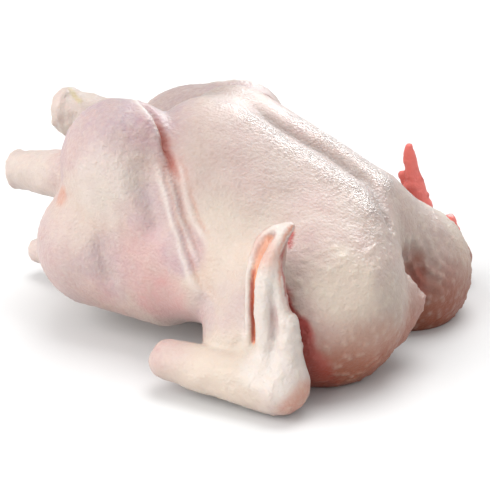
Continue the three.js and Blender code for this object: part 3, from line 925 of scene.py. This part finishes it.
# Brown painted shade low on the breast's front, beside the wrist, on the far lobe and in the neck's
# cleft.
low = 1 - smooth(z + 5 * noise(points, 12, 99), 10, 50)
forward = smooth(x + 0.3 * np.abs(y), 64, 92) * (1 - smooth(np.abs(y), 80, 86))
paint("shade", 0.97, low * forward)
paint("shade", 0.6, patch(shaken, (66, -76, 14), 24) * (np.abs(y) < 84))
paint("shade", 0.95, (1 - smooth(z, 12, 50)) * smooth(x, 58, 80) * (y > 4))
paint("shade", 0.75, patch(shaken, (79, 13, 32), 20) * smooth(wide, 0.1, 0.4))
# Painted shade along the breast's lower front edge: brown, and orange on the near lobe.
lower_edge = (1 - smooth(z + 0.25 * x + 6 * noise(points, 9, 103), 32, 62)) * smooth(x, 70, 88)
paint("shade", 0.4, lower_edge)
paint("orange_glow_and_shade", 0.6, lower_edge * (y < 4))

paint("wet", 1.0, bands)
# Painted highlight: pale in a noisy pattern over the wet bands. Grey painted shade over the bands, in
# the keel's valley and along the comb's streaks.
paint("pale", 0.35, bands * (0.7 + 0.5 * noise(points, 3.5, 101)))
paint("grey_shade", 0.3, bands)
paint("grey_shade", 1.0, keel * valley(keel_d + wander, 3.6))
paint("grey_shade", 0.5, (near_band + 0.8) * np.clip(comb, 0, 1))
unpainted = 1 - np.maximum(skin_masks["raw"], skin_masks["glow"])
paint("follicle", 1.0, (roots + 0.6 * grain) * unpainted)
print("masks:", ", ".join(name for name in MASK_NAMES if skin_masks[name].max() > 0))

# %% [markdown]
# ## The skin object
# The vertices move from millimetres about the legs to metres about the frame's origin, so
# that the skin lies exactly on the solid it stands for.

# %% Build the mesh
shift = np.array(FRAME_SHIFT)
mesh = bpy.data.meshes.new("chicken_skin")
mesh.from_pydata(((skin_points + shift) * MM).tolist(), [], quads.tolist())
mesh.update()
for name, values_of_mask in skin_masks.items():
    stored = mesh.attributes.new(name, "FLOAT", "POINT")
    stored.data.foreach_set("value", values_of_mask.astype(np.float32))
mesh.polygons.foreach_set("use_smooth", np.ones(len(mesh.polygons), bool))
skin = bpy.data.objects.new("chicken_skin", mesh)
bpy.context.scene.collection.objects.link(skin)
print("skin triangles:", 2 * len(mesh.polygons))

# %% [markdown]
# ## The skin material
# Light goes into raw skin and comes out reddish a few millimetres away, so the surface is a
# Principled shader with subsurface scattering. Over it lies a film of moisture, which is the
# shader's coat. Colour comes from the masks, broken up by noise so no edge is clean.

# %% Colours
REFLECTED = 0.56


def tone(r, g, b):
    """A colour given as it looks on a screen, from 0 to 255, for a shader's linear light."""
    c = np.array([r, g, b]) / 255
    linear = np.where(c <= 0.04045, c / 12.92, ((c + 0.055) / 1.055) ** 2.4)
    return (*[float(v) for v in linear * REFLECTED], 1.0)


CREAM = tone(244, 228, 216)
ROSE = tone(220, 186, 180)
FLESH = tone(213, 189, 177)
# MAUVE is the leg muscle's own tone, and also painted shade in the leg's valleys, the hand's hollows
# and on the far thigh.
MAUVE = tone(196, 168, 178)
BLUSH = tone(226, 150, 152)
FAT = tone(244, 228, 208)
# PALE is the pale skin's own colour, and on the wet bands a painted highlight.
PALE = tone(250, 240, 232)
# Red painted shade for the creases, the hollows and the gap beside the hand.
RED_SHADE = tone(190, 46, 34)
# Orange painted glow where light comes through thin skin, and orange painted shade.
ORANGE_GLOW_AND_SHADE = tone(226, 132, 92)
# Painted glow of light through the wing's web, in the slot.
GLOW = (0.78, 0.27, 0.10, 1.0)
GOLD = tone(206, 188, 116)
# Grey painted shade.
GREY_SHADE = tone(172, 152, 144)
RED = (0.70, 0.17, 0.145, 1.0)
# Brown painted shade.
SHADE = tone(166, 76, 28)
print("cream skin in linear light:", [round(c, 2) for c in CREAM[:3]])

# %% [markdown]
# These helpers each add a node and hand back its output, so the material reads like a formula.

# %% Node helpers
def add(nodes, kind, **settings):
    """A new node with its settings."""
    node = nodes.new(kind)
    for key, value in settings.items():
        setattr(node, key, value)
    return node


def mixed(tree, a, b, factor):
    """Mix two colours; each may be a colour or another node's output."""
    node = add(tree.nodes, "ShaderNodeMix", data_type="RGBA", blend_type="MIX")
    for socket, value in ((node.inputs[6], a), (node.inputs[7], b), (node.inputs[0], factor)):
        if isinstance(value, bpy.types.NodeSocket):
            tree.links.new(value, socket)
        else:
            socket.default_value = value
    return node.outputs[2]


def maths(tree, operation, a, b):
    """One sum or product; each side may be a number or another node's output."""
    node = add(tree.nodes, "ShaderNodeMath", operation=operation)
    for socket, value in zip(node.inputs, (a, b)):
        if isinstance(value, bpy.types.NodeSocket):
            tree.links.new(value, socket)
        else:
            socket.default_value = value
    return node.outputs[0]


def grainy(tree, coords, scale, detail):
    """Noise on the object's own coordinates."""
    node = add(tree.nodes, "ShaderNodeTexNoise")
    node.inputs["Scale"].default_value = scale
    node.inputs["Detail"].default_value = detail
    tree.links.new(coords, node.inputs["Vector"])
    return node.outputs["Fac"]


def blotches(tree, coords, scale, detail=3.0, low=0.35, high=0.65):
    """Noise stretched so that it runs from 0 at the low value to 1 at the high one."""
    ramp = add(tree.nodes, "ShaderNodeMapRange", clamp=True)
    ramp.inputs["From Min"].default_value = low
    ramp.inputs["From Max"].default_value = high
    tree.links.new(grainy(tree, coords, scale, detail), ramp.inputs["Value"])
    return ramp.outputs["Result"]


print("helpers: mixed, maths, blotches")

# %% [markdown]
# The masks lay their colours over the flesh one by one, so the last ones lie on top. Many of
# them are painted light and shade: orange glow and shade, the slot's glow, grey, brown and red
# painted shade, and dark crinkles painted into the wet bands.

# %% Skin material
material = bpy.data.materials.new("raw_skin")
material.use_nodes = True
tree = material.node_tree
tree.nodes.clear()
output = add(tree.nodes, "ShaderNodeOutputMaterial")
shader = add(tree.nodes, "ShaderNodeBsdfPrincipled")
tree.links.new(shader.outputs[0], output.inputs[0])
coords = add(tree.nodes, "ShaderNodeTexCoord").outputs["Object"]
mask = {name: add(tree.nodes, "ShaderNodeAttribute", attribute_name=name).outputs["Fac"]
        for name in MASK_NAMES}

large = blotches(tree, coords, 26.0)
small = blotches(tree, coords, 110.0)
fine = blotches(tree, coords, 520.0, 3.0, 0.3, 0.7)
broken = maths(tree, "ADD", maths(tree, "MULTIPLY", small, 0.5), 0.5)
wrinkled = blotches(tree, coords, 620.0, 2.0, 0.5, 0.6)
spared = maths(tree, "SUBTRACT", 1.0, maths(tree, "MULTIPLY", mask["follicle"], 0.3))


def layer(colour, paint_colour, name, amount, breaking=None):
    """The next colour over the last one, by a mask, an amount and a breaking noise."""
    factor = maths(tree, "MULTIPLY", mask[name], amount)
    if breaking is not None:
        factor = maths(tree, "MULTIPLY", factor, breaking)
    return mixed(tree, colour, paint_colour, factor)


colour = mixed(tree, FLESH, ROSE, large)
colour = mixed(tree, colour, CREAM, maths(tree, "MULTIPLY", small, 0.3))
colour = layer(colour, FAT, "fat", 0.8)
colour = layer(colour, MAUVE, "mauve_and_shade", 0.95, broken)
colour = layer(colour, BLUSH, "blush", 0.8, broken)
colour = layer(colour, PALE, "pale", 0.85)
colour = layer(colour, ORANGE_GLOW_AND_SHADE, "orange_glow_and_shade", 0.9)
colour = layer(colour, GLOW, "glow", 0.95)
colour = layer(colour, GOLD, "gold", 0.7)
colour = layer(colour, GREY_SHADE, "grey_shade", 0.9)
colour = layer(colour, FAT, "follicle", 0.35)
colour = mixed(tree, colour, CREAM, maths(tree, "MULTIPLY", fine, 0.2))
# Dark crinkles painted into the wet bands: painted shade between the glints.
colour = layer(colour, GREY_SHADE, "wet", 0.7, wrinkled)
colour = layer(colour, SHADE, "shade", 0.95, spared)
colour = layer(colour, RED, "red", 1.0)
colour = layer(colour, RED_SHADE, "raw", 0.95)
tree.links.new(colour, shader.inputs["Base Color"])
print("colours laid over the flesh:", len(MASK_NAMES))

# %% [markdown]
# Wet skin is smoother under a thicker film. The bump is pores, creping and, where wet, glitter.

# %% Moisture and bump
WET_SMOOTHING, WET_FILM, WET_GLITTER = 0.16, 0.75, 2.0
shader.inputs["Subsurface Weight"].default_value = 0.25
shader.inputs["Subsurface Radius"].default_value = (1.0, 0.42, 0.25)
shader.inputs["Subsurface Scale"].default_value = 0.003
roughness = maths(tree, "SUBTRACT", 0.46, maths(tree, "MULTIPLY", mask["wet"], WET_SMOOTHING))
tree.links.new(roughness, shader.inputs["Roughness"])
shader.inputs["Coat Roughness"].default_value = 0.25
shader.inputs["IOR"].default_value = 1.4
film = maths(tree, "ADD", maths(tree, "MULTIPLY", mask["wet"], WET_FILM), 0.12)
tree.links.new(film, shader.inputs["Coat Weight"])

pores = add(tree.nodes, "ShaderNodeTexVoronoi", feature="SMOOTH_F1")
pores.inputs["Scale"].default_value = 700.0
tree.links.new(coords, pores.inputs["Vector"])
creping = grainy(tree, coords, 800.0, 4.0)
glitter = grainy(tree, coords, 1150.0, 2.0)
crinkled = maths(tree, "MULTIPLY", glitter, maths(tree, "MULTIPLY", mask["wet"], WET_GLITTER))
creased = maths(tree, "ADD", maths(tree, "MULTIPLY", creping, 0.7), crinkled)
height = maths(tree, "ADD", creased, maths(tree, "MULTIPLY", pores.outputs["Distance"], 0.45))
bump = add(tree.nodes, "ShaderNodeBump")
bump.inputs["Strength"].default_value = 0.7
bump.inputs["Distance"].default_value = 0.0008
tree.links.new(height, bump.inputs["Height"])
tree.links.new(bump.outputs["Normal"], shader.inputs["Normal"])
tree.links.new(bump.outputs["Normal"], shader.inputs["Coat Normal"])
mesh.materials.append(material)
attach(skin, "root")
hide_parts("chicken")
print("skin material:", len(tree.nodes), "nodes")

# %% [markdown]
# ## Floor, light and camera
# The bird lies on a plain white table. A wide soft light shines from straight above and a low,
# still wider one fills from the left. A third stands above and behind like a window: it only
# makes the glossy bands along the keel, as its diffuse light is switched off.

# %% Floor
PAPER_WHITE = (0.66, 0.66, 0.66, 1.0)
floor_mesh = bpy.data.meshes.new("floor")
floor_mesh.from_pydata([(-4, -4, 0), (4, -4, 0), (4, 4, 0), (-4, 4, 0)], [], [(0, 1, 2, 3)])
floor = bpy.data.objects.new("floor", floor_mesh)
bpy.context.scene.collection.objects.link(floor)
paper = bpy.data.materials.new("white_table")
paper.use_nodes = True
paper_shader = paper.node_tree.nodes["Principled BSDF"]
paper_shader.inputs["Base Color"].default_value = PAPER_WHITE
paper_shader.inputs["Roughness"].default_value = 0.9
floor_mesh.materials.append(paper)
floor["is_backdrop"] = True
print("floor laid")

# %% Lights and surroundings
def aim(thing, place, target):
    """Stands a thing at a place and turns its -Z towards the target."""
    thing.location = place
    thing.rotation_euler = (Vector(target) - Vector(place)).to_track_quat("-Z", "Y").to_euler()


def hang(name, kind, place, target, power):
    """A light of a kind at a place, turned towards the target."""
    thing = bpy.data.objects.new(name, bpy.data.lights.new(name, kind))
    thing.data.energy = power
    bpy.context.scene.collection.objects.link(thing)
    aim(thing, place, target)
    return thing


hang("overhead", "SUN", (0.0, 0.22, 1.0), (0, 0, 0), 1.65).data.angle = np.radians(40)
hang("left_fill", "SUN", (-0.5, -0.75, 0.38), (0, 0, 0), 3.4).data.angle = np.radians(70)
window_light = hang("window", "AREA", (0.02, 1.0, 0.86), (0, 0, 0.05), 21.0)
window_light.data.shape = "SQUARE"
window_light.data.size = 0.85
window_light.visible_diffuse = False
world = bpy.data.worlds.new("studio")
world.use_nodes = True
world.node_tree.nodes["Background"].inputs["Color"].default_value = (1, 1, 1, 1)
world.node_tree.nodes["Background"].inputs["Strength"].default_value = 0.8
bpy.context.scene.world = world
bpy.context.scene.view_settings.view_transform = "Standard"
print("lights: overhead, left fill, window")

# %% [markdown]
# The camera's place and lens were worked out from points on the bird in the photo.

# %% Camera
AZIMUTH, ELEVATION, DISTANCE = 27.0, 19.8, 600.0
LOOK_AT = np.array([-2.0, -13.0, 43.0])
SENSOR, FOCAL_PIXELS, PHOTO_PIXELS = 36, 1205.0, 490
LENS = FOCAL_PIXELS * SENSOR / PHOTO_PIXELS
a, e = np.radians(AZIMUTH), np.radians(ELEVATION)
back = np.array([np.sin(a) * np.cos(e), -np.cos(a) * np.cos(e), np.sin(e)])
camera_data = bpy.data.cameras.new("camera")
camera_data.lens = LENS
camera_data.sensor_width = SENSOR
camera_data.clip_start = 0.01
camera = bpy.data.objects.new("camera", camera_data)
bpy.context.scene.collection.objects.link(camera)
target = (LOOK_AT + shift) * MM
aim(camera, tuple(target + back * DISTANCE * MM), tuple(target))
bpy.context.scene.camera = camera
print("camera lens:", round(LENS, 1), "mm")

# %% [markdown]
# ## Size and finish
# The box round the dressed bird and every other shown mesh but the floor is printed in millimetres.
# The dressed bird has to stay in the solid's box.

# %% Finish
low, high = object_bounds()
print("visual:", [round(1000 * (b - a)) for a, b in zip(low, high)], "mm")
